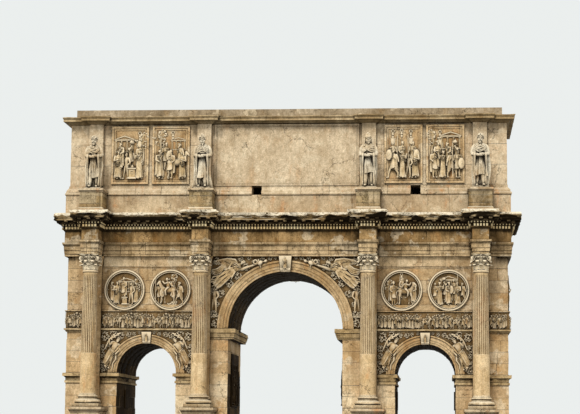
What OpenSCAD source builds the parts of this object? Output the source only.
// Triumphal arch with three vaulted passages, free-standing fluted columns and a hollow attic.
// Millimetres. The origin is at ground level under the middle of the body.
// The long fronts face -Y and +Y, and the two are alike.

/* [Body] */
// Depth of the body between its two fronts
body_d = 6270; // [5900:10:7000]
// Width of each pier between the middle passage and a side passage
inner_pier_w = 2930; // [2750:10:3150]
// Width of each pier between a side passage and the short side
outer_pier_w = 2920; // [2750:10:3150]

/* [Passages] */
// Width of the middle passage
centre_w = 6500; // [6100:10:6900]
// Width of each side passage
side_w = 3400; // [3200:10:3700]
// Height at which the side vaults spring
side_spring_h = 5720; // [5300:10:6100]
// Height of bare wall between a side arch ring and the string course
side_crown_h = 130; // [60:5:220]
// Height of bare wall between the middle arch ring and the architrave
centre_crown_h = 230; // [120:5:340]

/* [Imposts and arch rings] */
// Height of the moulded impost of the middle passage
centre_impost_h = 590; // [450:10:700]
// How far the middle impost stands out into the passage
centre_impost_out = 450; // [300:10:550]
// Height of the side imposts, neck band and corona together
side_impost_h = 560; // [450:10:700]
// How far the side imposts stand out
side_impost_out = 190; // [120:5:240]
// Height of the corona at the top of a side impost
side_corona_h = 190; // [120:5:240]
// Height of the neck band at the foot of a side impost
neck_band_h = 120; // [80:5:160]
// Width of the arch ring round the middle vault
centre_ring_w = 620; // [500:10:680]
// Width of the arch ring round a side vault
side_ring_w = 490; // [400:10:520]
// Height of the curve under a side impost's corona
impost_curve_h = 90; // [60:5:110]
// How far the arch rings stand out from the wall
ring_out = 130; // [90:5:180]
// Width of the middle keystone at its top
centre_key_w = 710; // [600:10:800]
// How far the middle keystone stands out at its top
centre_key_out = 420; // [300:10:500]
// Width of a side keystone at its top
side_key_w = 550; // [450:10:620]
// How far a side keystone stands out at its top
side_key_out = 250; // [180:10:320]
// How far the keystones reach below the crown of their vault
key_drop = 25; // [20:1:60]
// Thickness of the carved slabs beside the arch rings
spandrel_t = 50; // [30:5:80]

/* [Bands on the walls] */
// Height of the string course level with the middle springing
string_h = 210; // [150:10:240]
// How far the string course stands out
string_out = 170; // [120:5:220]
// Height of the carved figure frieze on the string course
figure_frieze_h = 910; // [800:10:1000]
// Thickness of the figure frieze slabs
figure_frieze_t = 60; // [40:5:90]
// Height of the ledge above the figure frieze
ledge_h = 100; // [80:5:130]
// How far that ledge stands out
ledge_out = 120; // [95:5:150]
// Gap between the roundels and the bare band under the architrave
plain_band_gap = 190; // [100:10:260]
// Thickness of the bare band
plain_band_t = 40; // [25:5:60]

/* [Roundels] */
// Outer diameter of a roundel's moulded rim
roundel_d = 2320; // [2100:10:2400]
// Gap between a roundel's rim and the ledge below it
roundel_lift = 10; // [5:5:50]
// Gap between the rims of the two roundels of a bay
roundel_space = 320; // [240:10:360]
// Width of the rim
roundel_rim_w = 150; // [110:5:180]
// How far the rim stands out
roundel_rim_out = 150; // [110:5:180]
// Thickness of the roundel's back
roundel_t = 60; // [40:5:90]
// Height of the ledge that the roundel's figures stand on, above the foot of the rim
roundel_floor_h = 330; // [250:10:380]

/* [Columns] */
// How far the outer columns stand inwards of the middle of their piers
col_outer_in = 60; // [0:5:120]
// Distance from the wall to the column axes
col_out = 1170; // [1120:10:1250]
// Diameter of a shaft at its foot
shaft_d = 920; // [880:5:950]
// Diameter of a shaft at its neck
neck_d = 790; // [760:5:820]
// Number of flutes round a shaft
flutes = 24; // [20:1:24]
// Depth of a flute
flute_depth = 34; // [24:1:40]
// Height of the plain lower part of a shaft, below the flutes
cable_h = 2290; // [2000:10:2500]
// How far the plain lower part stands proud of the fluted part
cable_lip = 22; // [12:1:30]
// Height of a column base
col_base_h = 730; // [660:10:780]
// Width of a column base's square plinth
col_plinth_w = 1500; // [1420:10:1560]
// Height of that plinth
col_plinth_h = 200; // [160:5:240]
// Height of a capital with its abacus
capital_h = 900; // [850:10:950]
// Height of the abacus
abacus_h = 120; // [90:5:140]
// Width of the abacus from side to side
abacus_w = 1060; // [1000:10:1100]
// Width of the pilaster behind each column
pilaster_w = 900; // [860:10:920]
// How far the pilasters stand out from the wall
pilaster_out = 200; // [150:5:230]
// How far a pilaster's base and capital spread beyond its shaft
pilaster_spread = 110; // [80:5:130]

/* [Pedestals] */
// Height of the column pedestals
pedestal_h = 3770; // [3600:10:3900]
// Width of a pedestal between its mouldings
pedestal_w = 1600; // [1540:10:1660]
// How far a pedestal's foot and cap spread
pedestal_spread = 150; // [120:5:180]
// Height of a pedestal's foot
pedestal_foot_h = 560; // [450:10:650]
// Height of a pedestal's cap
pedestal_cap_h = 320; // [260:10:380]

/* [Main entablature] */
// How far architrave and frieze stand out from the wall
entab_out = 200; // [150:5:230]
// Half width of the block that breaks forward over each column
block_half = 460; // [430:5:490]
// Height of the lowest fascia of the architrave
fascia_1_h = 140; // [110:5:160]
// Height of the middle fascia
fascia_2_h = 200; // [170:5:230]
// Height of the top fascia
fascia_3_h = 220; // [190:5:250]
// Height of the moulding that crowns the architrave
architrave_crown_h = 210; // [160:5:240]
// How far each fascia stands out from the one below
fascia_step = 25; // [15:1:35]
// How far the crown of the architrave stands out from the fasciae
architrave_crown_out = 70; // [50:5:90]
// Height of the plain frieze
frieze_h = 630; // [560:10:700]
// Height of the moulding under the dentils
bed_h = 120; // [90:5:150]
// How far that moulding stands out
bed_out = 90; // [70:5:110]
// Height of a dentil
dentil_h = 160; // [130:5:180]
// Width of a dentil
dentil_w = 150; // [120:5:160]
// Distance from one dentil to the next
dentil_pitch = 250; // [235:1:280]
// How far the dentils stand out from their band
dentil_out = 110; // [80:5:120]
// Height of the quarter round above the dentils
ovolo_h = 140; // [110:5:160]
// Height of the band that carries the modillions
modillion_band_h = 190; // [170:5:220]
// Width of a modillion
modillion_w = 190; // [160:5:210]
// Distance from one modillion to the next
modillion_pitch = 530; // [500:5:580]
// Length of a modillion
modillion_l = 300; // [260:5:320]
// Height of the corona, the flat face of the cornice
corona_h = 140; // [110:5:170]
// Height of the curved gutter moulding on the corona
sima_h = 290; // [240:5:330]
// How far the corona stands out from the frieze
corona_out = 590; // [560:5:620]
// How far the gutter moulding stands out from the corona
sima_out = 80; // [60:5:100]

/* [Attic] */
// Height of the attic plinth
attic_plinth_h = 1060; // [950:10:1150]
// How far the attic plinth stands out from the attic wall
attic_plinth_out = 190; // [150:5:220]
// Height of the moulding on the attic plinth
attic_base_h = 550; // [480:10:600]
// Thickness of the attic walls
attic_wall_t = 1100; // [900:10:1300]
// Height of the attic cornice
attic_cornice_h = 440; // [380:10:500]
// How far the attic cornice stands out from the wall
attic_cornice_out = 480; // [430:10:520]
// Width of an attic pilaster
attic_pilaster_w = 800; // [740:10:840]
// How far the attic pilasters stand out
attic_pilaster_out = 340; // [280:10:380]
// Width of the vents in the course behind the moulding
vent_w = 580; // [500:10:640]
// Distance from the middle to the vent under the inscription field
vent_1_x = -1690; // [-1800:10:-1500]
// Distance from the middle of a bay to the vent under its relief panels
vent_2_in = 500; // [440:10:560]
// Height of the blocking course on the attic cornice
blocking_h = 500; // [420:10:560]
// How far the blocking course stands back from the attic wall
blocking_in = 250; // [150:10:350]
// Thickness of the blocking course
blocking_t = 550; // [450:10:600]
// Thickness of the attic's roof slab
roof_t = 350; // [300:10:420]

/* [Attic panels] */
// Width of a relief panel with its frame
panel_w = 2160; // [2050:10:2200]
// Gap between the two relief panels of a bay
panel_space = 210; // [150:10:260]
// Height of a relief panel with its frame
panel_h = 3350; // [3200:10:3400]
// Height of attic wall below the relief panels
panel_foot_h = 120; // [80:5:160]
// Height of attic wall above the relief panels
panel_head_h = 80; // [50:5:120]
// Width of a panel frame
panel_frame_w = 230; // [180:10:260]
// How far a panel frame stands out
panel_frame_out = 130; // [110:5:160]
// Thickness of a relief panel's back
panel_t = 60; // [40:5:80]
// Gap between the bare inscription field and the attic pilasters
field_space = 170; // [120:5:300]
// Width of the frame round the inscription field
field_frame_w = 120; // [90:5:160]
// How far the frame of the inscription field stands out
field_frame_out = 90; // [70:5:110]

/* [Attic statues] */
// Width of a statue's pedestal between its mouldings
plinth_block_w = 1300; // [1240:10:1360]
// How far a statue's pedestal reaches out from the attic wall
plinth_block_out = 1560; // [1480:10:1620]
// Height of a statue's pedestal
plinth_block_h = 1280; // [1200:10:1340]
// Height of that pedestal's foot and of its cap
plinth_block_cap_h = 200; // [160:5:240]
// How far foot and cap spread
plinth_block_spread = 70; // [50:5:90]
// Height of a statue with its own thin base
statue_h = 3130; // [2950:10:3250]
// Height of the thin base under a statue's feet
statue_base_h = 130; // [100:5:160]
// Width of a statue at its elbows
statue_w = 1020; // [920:10:1100]

/* [Passage panels] */
// Length of the relief panel on each side of the middle passage
passage_panel_l = 3300; // [3000:10:3600]
// Height of that panel
passage_panel_h = 3000; // [2800:10:3100]
// Height of bare wall between that panel and the middle impost
passage_panel_drop = 760; // [650:10:850]
// Thickness of the panels in the passages
passage_panel_t = 90; // [60:5:120]
// Length of the small panel on each side of a side passage
small_panel_l = 1300; // [1100:10:1500]
// Height of the small panel
small_panel_h = 1050; // [900:10:1150]
// Height of bare wall between the small panel and the side impost
small_panel_drop = 330; // [250:10:400]

/* [Hidden] */

$fn = 96;

// Places across the front: passages, body, columns and the bays between columns
centre_r = centre_w / 2;
side_r = side_w / 2;
side_x = centre_r + inner_pier_w + side_r;
half_w = side_x + side_r + outer_pier_w;
half_d = body_d / 2;
body_w = 2 * half_w;
col_inner_x = centre_r + inner_pier_w / 2;
col_outer_x = half_w - outer_pier_w / 2 - col_outer_in;
bay_x = (col_inner_x + col_outer_x) / 2;
column_xs = [-col_outer_x, -col_inner_x, col_inner_x, col_outer_x];
pilaster_half = pilaster_w / 2;

// Heights of the parts of the wall
string_z = side_spring_h + side_r + side_ring_w + side_crown_h;
string_top = string_z + string_h;
centre_spring_h = string_top;
wall_h = centre_spring_h + centre_r + centre_ring_w + centre_crown_h;
ledge_z = string_top + figure_frieze_h;
roundel_z = ledge_z + ledge_h + roundel_lift + roundel_d / 2;
plain_band_z = roundel_z + roundel_d / 2 + plain_band_gap;
passage_panel_z = centre_spring_h - centre_impost_h - passage_panel_drop - passage_panel_h;
small_panel_z = side_spring_h - side_impost_h - small_panel_drop - small_panel_h;
centre_key_z = centre_spring_h + centre_r - key_drop;
side_key_z = side_spring_h + side_r - key_drop;

// Heights of the parts of a column
shaft_z = pedestal_h + col_base_h;
capital_z = wall_h - capital_h;

// Heights of the parts of the main entablature
frieze_z = wall_h + fascia_1_h + fascia_2_h + fascia_3_h + architrave_crown_h;
bed_z = frieze_z + frieze_h;
dentil_z = bed_z + bed_h;
ovolo_z = dentil_z + dentil_h;
modillion_z = ovolo_z + ovolo_h;
corona_z = modillion_z + modillion_band_h;
sima_z = corona_z + corona_h;
attic_z = sima_z + sima_h;
block_front = col_out + block_half - entab_out;
dentil_face = bed_out;
modillion_face = dentil_face + dentil_out * 1.2;

// Heights of the parts of the attic
attic_base_z = attic_z + attic_plinth_h;
attic_wall_z = attic_base_z + attic_base_h;
attic_wall_h = panel_foot_h + panel_h + panel_head_h;
attic_cornice_z = attic_wall_z + attic_wall_h;
blocking_z = attic_cornice_z + attic_cornice_h;
vents = [vent_1_x, bay_x - vent_2_in];
roof_in = blocking_in + blocking_t;
statue_z = attic_z + plinth_block_h;
statue_y = half_d + attic_plinth_out + (plinth_block_out - attic_plinth_out) / 2;

marble = "#d9c7a3";
stained_marble = "#b29a74";
yellow_marble = "#d6ad78";
pale_marble = "#e4d9c2";
carved_marble = "#c8b48d";

// Points of a curve from one profile point to another: hollow, round or S-shaped
function cove(z, out, h, w, n = 4) =
    [for (i = [0:n]) [z + h * sin(90 * i / n), out + w * (1 - cos(90 * i / n))]];
function ovolo(z, out, h, w, n = 4) =
    [for (i = [0:n]) [z + h * (1 - cos(90 * i / n)), out + w * sin(90 * i / n)]];
function cyma(z, out, h, w, n = 6) =
    [for (i = [0:n]) [z + h * i / n, out + w * (1 - cos(180 * i / n)) / 2]];
function torus(z, out, h, w, n = 6) =
    [for (i = [0:n]) [z + h * (1 - cos(180 * i / n)) / 2, out + w * sin(180 * i / n)]];

// A ledge in a profile: the offset changes from a to b within one millimetre of height
function ledge(z, a, b) = [[z, a], [z + 1, b]];

// One closed solid that carries a profile of [height, offset] points round a plan.
// The plan is a function that gives the outline, moved outwards by an offset, anticlockwise.
// The cells are convex pieces of the outline, as lists of its points, that close foot and head.
module swept(plan, profile, cells) {
    n = len(plan(0));
    m = len(profile);
    rings = [for (p = profile) each [for (q = plan(p[1])) [q[0], q[1], p[0]]]];
    sides = [for (k = [0:m - 2]) each [for (i = [0:n - 1])
        [k * n + i, (k + 1) * n + i, (k + 1) * n + (i + 1) % n, k * n + (i + 1) % n]]];
    head = [for (cell = cells) [for (i = [len(cell) - 1:-1:0]) (m - 1) * n + cell[i]]];
    polyhedron(rings, concat(cells, sides, head));
}

// A quarter turn, a half turn and a mirror image of what follows
module on_both_fronts() {
    children();
    rotate([0, 0, 180]) children();
}
module on_both_ends() {
    children();
    rotate([0, 0, 180]) children();
}
module left_and_right() {
    children();
    mirror([1, 0, 0]) children();
}

// Plan of the body with a block that breaks forward at each column, moved outwards by o.
// Its cells are the blocks and the strips of the body between their edges.
function half_plan(hx, hy, half, front, o) = concat(
    [[-hx - o, -hy - o]],
    [for (c = column_xs) each [
        [c - half - o, -hy - o], [c - half - o, -hy - front - o],
        [c + half + o, -hy - front - o], [c + half + o, -hy - o]]],
    [[hx + o, -hy - o]]);
function broken_plan(hx, hy, half, front, o) =
    let (near = half_plan(hx, hy, half, front, o))
    concat(near, [for (p = near) -p]);

wall_points = [0, 1, 4, 5, 8, 9, 12, 13, 16, 17];
broken_cells = concat(
    [for (first = [0, 18], k = [0:3]) [for (i = [1:4]) first + 4 * k + i]],
    [for (k = [0:8]) [wall_points[k], wall_points[k + 1], 35 - wall_points[k + 1], 35 - wall_points[k]]]);

entab_plan = function (o)
    broken_plan(half_w + entab_out, half_d + entab_out, block_half, block_front, o);
attic_plan = function (o)
    broken_plan(half_w, half_d, attic_pilaster_w / 2, attic_pilaster_out, o);

// Band with a moulded face that runs from x0 to x1 along the front
module straight_band(x0, x1, profile) {
    plan = function (o) [[x0, -half_d - o], [x1, -half_d - o], [x1, -half_d], [x0, -half_d]];
    swept(plan, profile, [[0, 1, 2, 3]]);
}

// Band that starts at x0 on the front, turns round the wall's face at x1 and ends at x0 on the back.
// There end_out moves its outer edge further out than on the fronts.
module turned_band(x0, x1, profile, end_out = 0) {
    a = min(x0, x1) == x0 ? x0 : -x0;
    b = min(x0, x1) == x0 ? x1 : -x1;
    plan = function (o)
        [[a, -half_d], [a, -half_d - o], [b + o + end_out, -half_d - o], [b + o + end_out, half_d + o],
         [a, half_d + o], [a, half_d], [b, half_d], [b, -half_d]];
    mirror([x0 < x1 ? 0 : 1, 0, 0]) swept(plan, profile, [[0, 1, 2, 7], [7, 2, 3, 6], [6, 3, 4, 5]]);
}

// Square-cornered block in front of the wall with a moulded face on three sides
module moulded_block(x, half, back, front, profile) {
    plan = function (o)
        [[x - half - o, -half_d - front - o], [x + half + o, -half_d - front - o],
         [x + half + o, -half_d - back], [x - half - o, -half_d - back]];
    swept(plan, profile, [[0, 1, 2, 3]]);
}

module wall_block(x0, x1, z0, z1) {
    translate([x0, -half_d, z0]) cube([x1 - x0, body_d, z1 - z0]);
}

module vault_cut(x, z, r) {
    translate([x, 0, z]) rotate([90, 0, 0]) cylinder(h = body_d * 1.1, r = r, center = true);
}

module pier_outer_right() {
    color(marble) wall_block(side_x + side_r, half_w, 0, side_spring_h);
}

module pier_inner_right() {
    color(marble) wall_block(centre_r, side_x - side_r, 0, side_spring_h);
}

module side_arch_wall_right() {
    color(marble) difference() {
        wall_block(centre_r, half_w, side_spring_h, centre_spring_h);
        vault_cut(side_x, side_spring_h, side_r);
    }
}

module centre_arch_wall() {
    color(marble) difference() {
        wall_block(-col_inner_x, col_inner_x, centre_spring_h, wall_h);
        vault_cut(0, centre_spring_h, centre_r);
    }
}

module upper_wall_right() {
    color(marble) wall_block(col_inner_x, half_w, centre_spring_h, wall_h);
}

module side_imposts() {
    out = side_impost_out;
    z = side_spring_h - side_impost_h;
    corona_foot = side_spring_h - side_corona_h;
    profile = concat(
        [[z, out * 0.35]],
        ledge(z + neck_band_h, out * 0.35, out * 0.12),
        cyma(corona_foot - impost_curve_h, out * 0.15, impost_curve_h, out * 0.5, 3),
        ledge(corona_foot + 1, out * 0.65, out),
        [[side_spring_h, out]]);
    color(marble) left_and_right() {
        turned_band(col_inner_x + pilaster_half, side_x - side_r, profile);
        turned_band(col_outer_x - pilaster_half, side_x + side_r, profile);
        turned_band(col_outer_x + pilaster_half, half_w, profile);
    }
}

module centre_imposts() {
    z = centre_spring_h - centre_impost_h;
    step = centre_impost_h / 6;
    out = string_out;
    end_out = centre_impost_out - string_out;
    profile = concat(
        [[z, out * 0.2]],
        ledge(z + step, out * 0.2, out * 0.35),
        cyma(z + step + 2, out * 0.4, 2 * step, out * 0.35, 3),
        ledge(z + 3.6 * step, out * 0.75, out),
        [[centre_spring_h, out]]);
    color(marble) left_and_right()
        turned_band(col_inner_x - pilaster_half, centre_r, profile, end_out);
}

// Half ring with three fasciae and an outer moulding, on the front
module arch_ring(x, z, r, w) {
    step = w / 6;
    translate([x, -half_d, z]) rotate([90, 0, 0])
        rotate_extrude(angle = 180, $fn = 360) polygon([
            [r, 0], [r, ring_out * 0.45], [r + 1.3 * step, ring_out * 0.45],
            [r + 1.3 * step, ring_out * 0.6], [r + 2.8 * step, ring_out * 0.6],
            [r + 2.8 * step, ring_out * 0.75], [r + 4.5 * step, ring_out * 0.75],
            [r + 5.1 * step, ring_out], [r + w, ring_out], [r + w, 0]]);
}

// Wedge of a keystone, narrower at the foot, that stands out from the front by depth
module key_wedge(x, z0, z1, w, depth) {
    foot = w * 0.76;
    translate([x, -half_d, 0]) rotate([90, 0, 0]) linear_extrude(depth)
        polygon([[-foot / 2, z0], [foot / 2, z0], [w / 2, z1], [-w / 2, z1]]);
}

module side_arch_rings() {
    color(marble) on_both_fronts() left_and_right() difference() {
        arch_ring(side_x, side_spring_h, side_r, side_ring_w);
        key_wedge(side_x, side_key_z, string_z, side_key_w, 2 * ring_out);
    }
}

module centre_arch_rings() {
    color(marble) on_both_fronts() difference() {
        arch_ring(0, centre_spring_h, centre_r, centre_ring_w);
        key_wedge(0, centre_key_z, wall_h, centre_key_w, 2 * ring_out);
    }
}

// Wedge with a scrolled front, thicker at the head
module keystone(x, z0, z1, w, out) {
    h = z1 - z0;
    intersection() {
        key_wedge(x, z0, z1, w, out + 1);
        translate([x - w, -half_d, z0]) rotate([90, 0, 90]) linear_extrude(2 * w) polygon(concat(
            [[0, 0], [-out * 0.55, 0]],
            [for (i = [0:6]) [-out * (0.57 + 0.22 * sin(30 * i)), h * (0.02 + 0.22 * i / 6)]],
            [for (i = [0:6]) [-out * (0.6 + 0.4 * sin(15 * i)), h * (0.3 + 0.6 * i / 6)]],
            [[-out, h], [0, h]]));
    }
}

module side_keystones() {
    color(pale_marble) on_both_fronts() left_and_right()
        keystone(side_x, side_key_z, string_z, side_key_w, side_key_out);
}

module centre_keystones() {
    color(pale_marble) on_both_fronts()
        keystone(0, centre_key_z, wall_h, centre_key_w, centre_key_out);
}

// Carved slabs in the corners between an arch ring, the band above and the pilasters
module side_spandrel() {
    x0 = col_inner_x + pilaster_half;
    x1 = col_outer_x - pilaster_half;
    translate([0, -half_d, 0]) rotate([90, 0, 0]) linear_extrude(spandrel_t) difference() {
        translate([x0, side_spring_h]) square([x1 - x0, string_z - side_spring_h]);
        translate([side_x, side_spring_h]) circle(r = side_r + side_ring_w);
        translate([side_x - side_key_w / 2, side_spring_h]) square([side_key_w, string_z]);
    }
}

module centre_spandrel() {
    x1 = col_inner_x - pilaster_half;
    translate([0, -half_d, 0]) rotate([90, 0, 0]) linear_extrude(spandrel_t) difference() {
        translate([centre_key_w / 2, centre_spring_h])
            square([x1 - centre_key_w / 2, wall_h - centre_spring_h]);
        translate([0, centre_spring_h]) circle(r = centre_r + centre_ring_w);
        translate([x1 - pilaster_spread, capital_z]) square([pilaster_w, capital_h + 1]);
    }
}

module spandrel_slabs() {
    color(carved_marble) on_both_fronts() left_and_right() {
        side_spandrel();
        centre_spandrel();
    }
}

module string_course() {
    profile = concat(
        [[string_z, string_out * 0.3]],
        cyma(string_z + string_h * 0.15, string_out * 0.35, string_h * 0.35, string_out * 0.4, 3),
        ledge(string_z + string_h * 0.52, string_out * 0.8, string_out),
        [[string_top, string_out]]);
    color(marble) {
        left_and_right() turned_band(col_outer_x + pilaster_half, half_w, profile);
        on_both_fronts() left_and_right()
            straight_band(col_inner_x + pilaster_half, col_outer_x - pilaster_half, profile);
    }
}

module figure_friezes() {
    profile = concat(
        [[string_top, figure_frieze_t], [ledge_z, figure_frieze_t]],
        cyma(ledge_z + 1, figure_frieze_t + 5, ledge_h * 0.5, (ledge_out - figure_frieze_t) * 0.7, 2),
        ledge(ledge_z + ledge_h * 0.55, ledge_out - 5, ledge_out),
        [[ledge_z + ledge_h, ledge_out]]);
    color(carved_marble) {
        left_and_right() turned_band(col_outer_x + pilaster_half, half_w, profile);
        on_both_fronts() left_and_right()
            straight_band(col_inner_x + pilaster_half, col_outer_x - pilaster_half, profile);
    }
}

// Round relief field: a back, a moulded rim and the ledge that its figures stand on
module roundel() {
    r = roundel_d / 2;
    rim = r - roundel_rim_w;
    rotate_extrude() polygon(concat(
        [[0, 0], [r, 0], [r, roundel_rim_out * 0.7]],
        [for (i = [0:5]) [r - roundel_rim_w * 0.6 * (1 - cos(36 * i)) / 2 - roundel_rim_w * 0.06,
                          roundel_rim_out * (0.7 + 0.3 * sin(36 * i))]],
        [[rim, roundel_rim_out * 0.55], [rim, roundel_t], [0, roundel_t]]));
    intersection() {
        cylinder(h = roundel_rim_out * 0.85, r = rim + 1);
        translate([-r, -r, 0]) cube([2 * r, roundel_floor_h, roundel_rim_out]);
    }
}

module roundels() {
    color(carved_marble) {
        on_both_fronts() left_and_right()
            for (x = [side_x - roundel_d / 2, side_x + roundel_d / 2] + [-1, 1] * roundel_space / 2)
                translate([x, -half_d, roundel_z]) rotate([90, 0, 0]) roundel();
        on_both_ends() translate([half_w, 0, roundel_z]) rotate([90, 0, 90]) roundel();
    }
}

module plain_bands() {
    inset = pilaster_half + pilaster_spread;
    color(marble) on_both_fronts() left_and_right()
        translate([col_inner_x + inset, -half_d - plain_band_t, plain_band_z])
            cube([col_outer_x - col_inner_x - 2 * inset, plain_band_t, wall_h - plain_band_z]);
}

module passage_panels() {
    color(carved_marble) on_both_ends() {
        translate([-centre_r, -passage_panel_l / 2, passage_panel_z])
            cube([passage_panel_t, passage_panel_l, passage_panel_h]);
        for (x = [side_x - side_r, side_x + side_r - passage_panel_t])
            translate([x, -small_panel_l / 2, small_panel_z])
                cube([passage_panel_t, small_panel_l, small_panel_h]);
    }
}

module pilasters() {
    s = pilaster_spread;
    plinth = pedestal_h + col_plinth_h;
    ring_h = (col_base_h - col_plinth_h) / 3;
    profile = concat(
        [[pedestal_h, s], [plinth, s]],
        torus(plinth + 1, s * 0.5, ring_h, s * 0.4, 3),
        torus(plinth + 1.5 * ring_h, s * 0.3, ring_h, s * 0.3, 3),
        [[shaft_z, 0], [capital_z, 0]],
        cove(capital_z + 1, s * 0.1, capital_h - abacus_h - 2, s * 0.75, 3),
        [[wall_h - abacus_h, s], [wall_h, s]]);
    color(marble) on_both_fronts() for (c = column_xs)
        moulded_block(c, pilaster_half, 0, pilaster_out, profile);
}

module pedestals() {
    s = pedestal_spread;
    half = pedestal_w / 2;
    cap_z = pedestal_h - pedestal_cap_h;
    profile = concat(
        [[0, s], [pedestal_foot_h * 0.6, s]],
        torus(pedestal_foot_h * 0.6 + 1, s * 0.55, pedestal_foot_h * 0.18, s * 0.3, 3),
        [for (p = cove(0, 0, 1, 1, 2)) [pedestal_foot_h * (0.8 + 0.2 * p[0]), s * 0.5 * (1 - p[0])]],
        [[cap_z, 0]],
        cyma(cap_z + 1, s * 0.15, pedestal_cap_h * 0.55, s * 0.6, 3),
        [[cap_z + pedestal_cap_h * 0.6, s], [pedestal_h, s]]);
    color(marble) on_both_fronts() for (c = column_xs)
        moulded_block(c, half, 0, col_out + half, profile);
}

module column_base() {
    r0 = shaft_d / 2;
    r1 = col_plinth_w / 2;
    ring_h = col_base_h - col_plinth_h;
    translate([-r1, -r1, 0]) cube([col_plinth_w, col_plinth_w, col_plinth_h]);
    translate([0, 0, col_plinth_h]) rotate_extrude() polygon(concat(
        [[0, 0], [r1 * 0.88, 0]],
        [for (i = [0:8]) [r1 * 0.88 + r1 * 0.1 * sin(22.5 * i), ring_h * 0.19 * (1 - cos(22.5 * i))]],
        [[r1 * 0.86, ring_h * 0.4]],
        [for (i = [1:5]) [r1 * 0.86 - (r1 * 0.86 - r0 * 1.13) * sin(18 * i),
                          ring_h * (0.4 + 0.22 * (1 - cos(18 * i)))]],
        [for (i = [0:8]) [r0 * 1.15 + r0 * 0.09 * sin(22.5 * i),
                          ring_h * (0.66 + 0.09 * (1 - cos(22.5 * i)))]],
        [[r0 * 1.08, ring_h * 0.86], [r0 * 1.08, ring_h * 0.9], [r0 * 1.01, ring_h], [0, ring_h]]));
}

module at_columns(z) {
    on_both_fronts() for (c = column_xs) translate([c, -half_d - col_out, z]) children();
}

module column_bases() {
    color(pale_marble) at_columns(pedestal_h) column_base();
}

// Round section with flutes; each flute is a shallow hollow between two sharp edges
function fluted(r) = [for (i = [0:flutes * 3 - 1])
    let (a = 360 * i / (flutes * 3), dip = i % 3 == 0 ? 0 : 1)
    (r - flute_depth * dip) * [cos(a), sin(a)]];

module column_shaft() {
    shaft_h = capital_z - shaft_z;
    fluted_h = shaft_h - cable_h;
    cable_r = (shaft_d + (neck_d - shaft_d) * cable_h / shaft_h) / 2 - cable_lip / 2;
    cylinder(h = cable_h, r1 = shaft_d / 2, r2 = cable_r + cable_lip);
    translate([0, 0, cable_h])
        linear_extrude(fluted_h, scale = neck_d / 2 / cable_r) polygon(fluted(cable_r));
}

module column_shafts() {
    color(yellow_marble) at_columns(shaft_z) column_shaft();
}

// Points up one meridian of a leafed bell: [distance from the axis, height], for a share of leaf
// from 0 in the gap between leaves to 1 on a leaf's middle, for the lower and the upper row
function bell_line(lower, upper, corner) =
    let (r = neck_d / 2, h = capital_h - abacus_h, top = abacus_w / 2)
    [[r, 0], [r * (1.04 + 0.12 * lower), h * 0.24],
     [r * (1.05 + 0.34 * lower), h * (0.3 + 0.06 * lower)], [r * 1.07, h * 0.41],
     [r * (1.1 + 0.4 * upper), h * (0.62 + 0.06 * upper)], [r * 1.14, h * 0.74],
     [r * 1.16 + (top - r * 1.16) * corner * 1.05, h * 0.93],
     [r * 1.12 + (top - r * 1.12) * corner * 0.6, h]];

module leafed_bell() {
    n = 32;
    lines = [for (i = [0:n - 1])
        let (a = 360 * i / n, lower = max(0, cos(8 * a)), upper = max(0, -cos(8 * a)),
             corner = pow(max(0, -cos(4 * a)), 2))
        [for (p = bell_line(lower, upper, corner)) [p[0] * cos(a), p[0] * sin(a), p[1]]]];
    m = len(lines[0]);
    sides = [for (i = [0:n - 1]) each [for (k = [0:m - 2])
        [i * m + k, i * m + k + 1, ((i + 1) % n) * m + k + 1, ((i + 1) % n) * m + k]]];
    foot = [[for (i = [0:n - 1]) i * m]];
    head = [[for (i = [n - 1:-1:0]) i * m + m - 1]];
    polyhedron([for (line = lines) each line], concat(foot, sides, head));
}

// Square slab with hollow sides and cut corners
module abacus() {
    bow = abacus_w * 1.3;
    linear_extrude(abacus_h) intersection() {
        difference() {
            square(abacus_w * 1.16, center = true);
            for (a = [0:90:270]) rotate(a)
                translate([abacus_w * 0.46 + bow, 0]) circle(r = bow);
        }
        rotate(45) square(abacus_w * 1.36, center = true);
    }
}

module column_capitals() {
    color(pale_marble) at_columns(capital_z) {
        leafed_bell();
        translate([0, 0, capital_h - abacus_h]) abacus();
    }
}

module architrave() {
    z1 = wall_h + fascia_1_h;
    z2 = z1 + fascia_2_h;
    z3 = z2 + fascia_3_h;
    crown = fascia_step * 2;
    profile = concat(
        [[wall_h, 0]], ledge(z1, 0, fascia_step), ledge(z2, fascia_step, crown), [[z3, crown]],
        cyma(z3 + 1, crown + architrave_crown_out * 0.1, architrave_crown_h * 0.65,
             architrave_crown_out * 0.85, 3),
        [[z3 + architrave_crown_h * 0.72, crown + architrave_crown_out],
         [frieze_z, crown + architrave_crown_out]]);
    color(stained_marble) swept(entab_plan, profile, broken_cells);
}

module frieze_course() {
    profile = concat(
        [[frieze_z, 0], [bed_z, 0]],
        cyma(bed_z + 1, bed_out * 0.1, bed_h * 0.85, bed_out * 0.9, 2),
        [[dentil_z, bed_out]]);
    color(stained_marble) swept(entab_plan, profile, broken_cells);
}

// Number of teeth that fit along an edge, clear of both of its corners
function tooth_count(length, pitch, margin) = max(0, floor((length - 2 * margin) / pitch) + 1);

// Outline whose edges carry square teeth that stand out by depth
function toothed(pts, pitch, w, depth) = [for (i = [0:len(pts) - 1]) each
    let (p = pts[i], q = pts[(i + 1) % len(pts)], length = norm(q - p), d = (q - p) / length,
         out = [d[1], -d[0]], n = tooth_count(length, pitch, w / 2 + depth * 1.05),
         start = (length - (n - 1) * pitch) / 2)
    concat([p], [for (k = [0:n - 1]) each
        let (a = p + d * (start + k * pitch - w / 2), b = a + d * w)
        [a, a + out * depth, b + out * depth, b]])];

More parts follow.
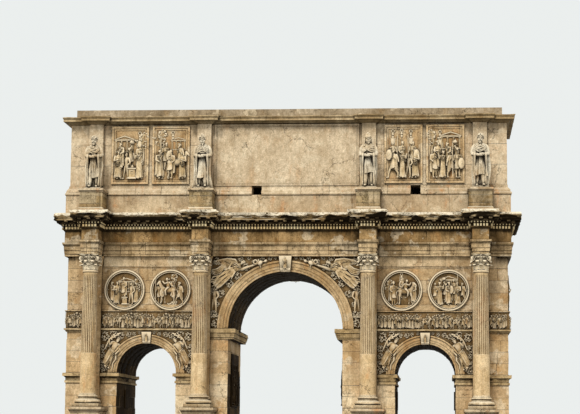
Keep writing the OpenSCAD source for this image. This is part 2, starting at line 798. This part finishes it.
module dentil_course() {
    color(stained_marble) translate([0, 0, dentil_z]) linear_extrude(dentil_h)
        polygon(toothed(entab_plan(dentil_face), dentil_pitch, dentil_w, dentil_out));
}

// Scrolled bracket under the corona, its back against the band at the origin, pointing along -Y
module modillion() {
    h = modillion_band_h;
    translate([-modillion_w / 2, 0, 0]) rotate([90, 0, 90]) linear_extrude(modillion_w) polygon(concat(
        [[0, h], [0, h * 0.05]],
        [for (i = [0:4]) [-modillion_l * 0.4 * i / 4, h * (0.05 + 0.3 * (1 - cos(45 * i)) / 2)]],
        [for (i = [0:4]) [-modillion_l * (0.5 + 0.44 * i / 4), h * (0.5 - 0.16 * sin(45 * i))]],
        [[-modillion_l, h * 0.7], [-modillion_l, h]]));
}

module modillions() {
    pts = entab_plan(modillion_face);
    color(stained_marble) for (i = [0:len(pts) - 1]) {
        p = pts[i];
        q = pts[(i + 1) % len(pts)];
        length = norm(q - p);
        d = (q - p) / length;
        n = tooth_count(length, modillion_pitch, modillion_w * 0.6);
        start = (length - (n - 1) * modillion_pitch) / 2;
        for (k = [0:1:n - 1])
            translate([p[0], p[1], modillion_z] + concat(d, 0) * (start + k * modillion_pitch))
                rotate([0, 0, atan2(d[1], d[0])]) modillion();
    }
}

module cornice() {
    profile = concat(
        ovolo(ovolo_z, dentil_face + dentil_out * 0.2, ovolo_h * 0.9, dentil_out * 0.8, 2),
        [[modillion_z, modillion_face]],
        ledge(corona_z, modillion_face, corona_out), [[sima_z, corona_out]],
        cyma(sima_z + 1, corona_out + sima_out * 0.05, sima_h * 0.75, sima_out * 0.95, 3),
        [[attic_z, corona_out + sima_out]]);
    color(marble) swept(entab_plan, profile, broken_cells);
}

// Course of the long attic walls on both fronts, from x0 to x1 and z0 to z1
module long_wall(x0, x1, z0, z1) {
    on_both_fronts() translate([x0, -half_d, z0]) cube([x1 - x0, attic_wall_t, z1 - z0]);
}

// Foot of the long attic walls, behind the plinth
module attic_footings() {
    color(marble) long_wall(-half_w, half_w, attic_z, attic_base_z);
}

// Course behind the base moulding; its blocks stand apart, and the gaps between them are the vents
module attic_vent_course() {
    edges = concat([-half_w], [for (x = vents) each [x - vent_w / 2, x + vent_w / 2]], [half_w]);
    color(marble) for (i = [0:2:len(edges) - 2])
        long_wall(edges[i], edges[i + 1], attic_base_z, attic_wall_z);
}

module attic_long_walls() {
    color(marble) long_wall(-half_w, half_w, attic_wall_z, attic_cornice_z);
}

module attic_end_walls() {
    color(marble) on_both_ends() translate([half_w - attic_wall_t, attic_wall_t - half_d, attic_z])
        cube([attic_wall_t, body_d - 2 * attic_wall_t, attic_cornice_z - attic_z]);
}

// The vents run on through the base moulding
module vent_cuts() {
    reach = 2 * attic_plinth_out;
    on_both_fronts() for (x = vents) translate([x - vent_w / 2, -half_d - reach, attic_base_z - 1])
        cube([vent_w, reach, attic_base_h + 2]);
}

function frame_plan(o) = [[-half_w - o, -half_d - o], [half_w + o, -half_d - o],
    [half_w + o, half_d + o], [-half_w - o, half_d + o]];

// Moulding carried round the attic walls, with its back against them
module round_the_attic(z0, z1, profile) {
    difference() {
        swept(function (o) frame_plan(o), profile, [[0, 1, 2, 3]]);
        translate([-half_w, -half_d, z0 - 1]) cube([body_w, body_d, z1 - z0 + 2]);
    }
}

module attic_plinth() {
    color(stained_marble) round_the_attic(attic_z, attic_base_z,
        [[attic_z, attic_plinth_out], [attic_base_z, attic_plinth_out]]);
}

module attic_base_moulding() {
    out = attic_plinth_out;
    profile = concat(
        torus(attic_base_z, out * 1.05, attic_base_h * 0.25, out * 0.26, 4),
        cyma(attic_base_z + attic_base_h * 0.32, out, attic_base_h * 0.6, -out * 0.75, 5),
        [[attic_wall_z, out * 0.2]]);
    color(marble) difference() {
        round_the_attic(attic_base_z, attic_wall_z, profile);
        vent_cuts();
        statue_pedestals_outline();
    }
}

module attic_pilasters() {
    h = attic_wall_h;
    half = attic_pilaster_w / 2;
    color(marble) on_both_fronts() for (c = column_xs)
        translate([c - half, -half_d - attic_pilaster_out, attic_wall_z])
            cube([attic_pilaster_w, attic_pilaster_out, h]);
}

// Rectangular frame with a moulded inner edge and a flat back, standing on the front
module framed_field(x, z, w, h, frame_w, frame_out, back_t) {
    translate([x, -half_d, z]) rotate([90, 0, 0]) {
        translate([-w / 2, 0]) linear_extrude(back_t) square([w, h]);
        linear_extrude(frame_out * 0.7) difference() {
            translate([-w / 2, 0]) square([w, h]);
            translate([-w / 2 + frame_w, frame_w]) square([w - 2 * frame_w, h - 2 * frame_w]);
        }
        linear_extrude(frame_out) difference() {
            translate([-w / 2, 0]) square([w, h]);
            translate([-w / 2 + frame_w * 0.5, frame_w * 0.5]) square([w - frame_w, h - frame_w]);
        }
    }
}

module relief_panels() {
    z = attic_wall_z + panel_foot_h;
    color(carved_marble) on_both_fronts() left_and_right()
        for (x = [bay_x - panel_w / 2, bay_x + panel_w / 2] + [-1, 1] * panel_space / 2)
            framed_field(x, z, panel_w, panel_h, panel_frame_w, panel_frame_out, panel_t);
}

module inscription_fields() {
    w = 2 * (col_inner_x - attic_pilaster_w / 2 - field_space);
    color(marble) on_both_fronts() framed_field(0, attic_wall_z, w, attic_wall_h,
        field_frame_w, field_frame_out, field_frame_out * 0.3);
}

module statue_pedestals() {
    s = plinth_block_spread;
    h = plinth_block_cap_h;
    profile = concat(
        [[attic_z, s], [attic_z + h * 0.7, s], [attic_z + h, 0], [statue_z - h, 0]],
        cyma(statue_z - h + 1, s * 0.2, h * 0.4, s * 0.6, 2),
        [[statue_z - h * 0.5, s], [statue_z, s]]);
    color(stained_marble) on_both_fronts() for (c = column_xs)
        moulded_block(c, plinth_block_w / 2, attic_plinth_out, plinth_block_out, profile);
}

// Room that the heads of the statue pedestals take in the base moulding
module statue_pedestals_outline() {
    half = plinth_block_w / 2 + plinth_block_spread;
    on_both_fronts() for (c = column_xs)
        translate([c - half, -half_d - plinth_block_out, attic_base_z - 1])
            cube([2 * half, plinth_block_out - attic_plinth_out, statue_z - attic_base_z + 1]);
}

// Sections of a draped standing figure: [share of height, half width, half depth, forward shift],
// the last three as shares of the width at the elbows
FIGURE = [
    [0.00, 0.40, 0.30, 0.04], [0.10, 0.36, 0.28, 0.02], [0.30, 0.38, 0.28, 0.00],
    [0.46, 0.40, 0.29, 0.00], [0.57, 0.47, 0.31, 0.04], [0.66, 0.49, 0.29, 0.02],
    [0.76, 0.47, 0.26, 0.00], [0.83, 0.36, 0.22, 0.00], [0.865, 0.14, 0.15, 0.02]];

module statue() {
    n = 10;
    h = statue_h - statue_base_h;
    w = statue_w;
    half = w * 0.46;
    linear_extrude(statue_base_h) square([2 * half, w * 0.72], center = true);
    rings = [for (s = FIGURE) [for (i = [0:n - 1])
        [s[1] * w * cos(360 * i / n), s[2] * w * sin(360 * i / n) - s[3] * w,
         statue_base_h + s[0] * h]]];
    m = len(rings);
    sides = [for (k = [0:m - 2]) each [for (i = [0:n - 1])
        [k * n + i, (k + 1) * n + i, (k + 1) * n + (i + 1) % n, k * n + (i + 1) % n]]];
    foot = [[for (i = [0:n - 1]) i]];
    head = [[for (i = [0:n - 1]) m * n - 1 - i]];
    polyhedron([for (r = rings) each r], concat(foot, sides, head));
    translate([0, -w * 0.05, statue_base_h + h * 0.865]) cylinder(h = h * 0.06, r = w * 0.11);
    translate([0, -w * 0.06, statue_base_h + h * 0.932]) sphere(r = h * 0.068);
}

module statues() {
    color(pale_marble) on_both_fronts() for (c = column_xs)
        translate([c, -statue_y, statue_z]) statue();
}

module attic_cornice() {
    h = attic_cornice_h;
    out = attic_cornice_out;
    profile = concat(
        cyma(attic_cornice_z, out * 0.02, h * 0.34, out * 0.38, 2),
        ledge(attic_cornice_z + h * 0.4, out * 0.45, out * 0.86),
        [[attic_cornice_z + h * 0.66, out * 0.86]],
        cyma(attic_cornice_z + h * 0.67, out * 0.88, h * 0.25, out * 0.12, 2),
        [[blocking_z, out]]);
    color(pale_marble) difference() {
        swept(attic_plan, profile, broken_cells);
        translate([roof_in - half_w, roof_in - half_d, attic_cornice_z - 1])
            cube([body_w - 2 * roof_in, body_d - 2 * roof_in, h + 2]);
    }
}

// Flat roof that lies on the attic walls, inside the cornice
module attic_roof() {
    color(marble) translate([roof_in - half_w, roof_in - half_d, attic_cornice_z])
        cube([body_w - 2 * roof_in, body_d - 2 * roof_in, roof_t]);
}

module blocking_course() {
    w = body_w - 2 * blocking_in;
    d = body_d - 2 * blocking_in;
    color(pale_marble) translate([0, 0, blocking_z]) linear_extrude(blocking_h) difference() {
        square([w, d], center = true);
        square([w - 2 * blocking_t, d - 2 * blocking_t], center = true);
    }
}

mirror([1, 0, 0]) pier_outer_right();  // pier_outer_left
pier_outer_right();
mirror([1, 0, 0]) pier_inner_right();  // pier_inner_left
pier_inner_right();
mirror([1, 0, 0]) side_arch_wall_right();  // side_arch_wall_left
side_arch_wall_right();
centre_arch_wall();
mirror([1, 0, 0]) upper_wall_right();  // upper_wall_left
upper_wall_right();
side_imposts();
centre_imposts();
side_arch_rings();
centre_arch_rings();
side_keystones();
centre_keystones();
spandrel_slabs();
string_course();
figure_friezes();
roundels();
plain_bands();
passage_panels();
pilasters();
pedestals();
column_bases();
column_shafts();
column_capitals();
architrave();
frieze_course();
dentil_course();
modillions();
cornice();
attic_footings();
attic_vent_course();
attic_long_walls();
attic_end_walls();
attic_plinth();
attic_base_moulding();
attic_pilasters();
relief_panels();
inscription_fields();
statue_pedestals();
statues();
attic_cornice();
attic_roof();
blocking_course();
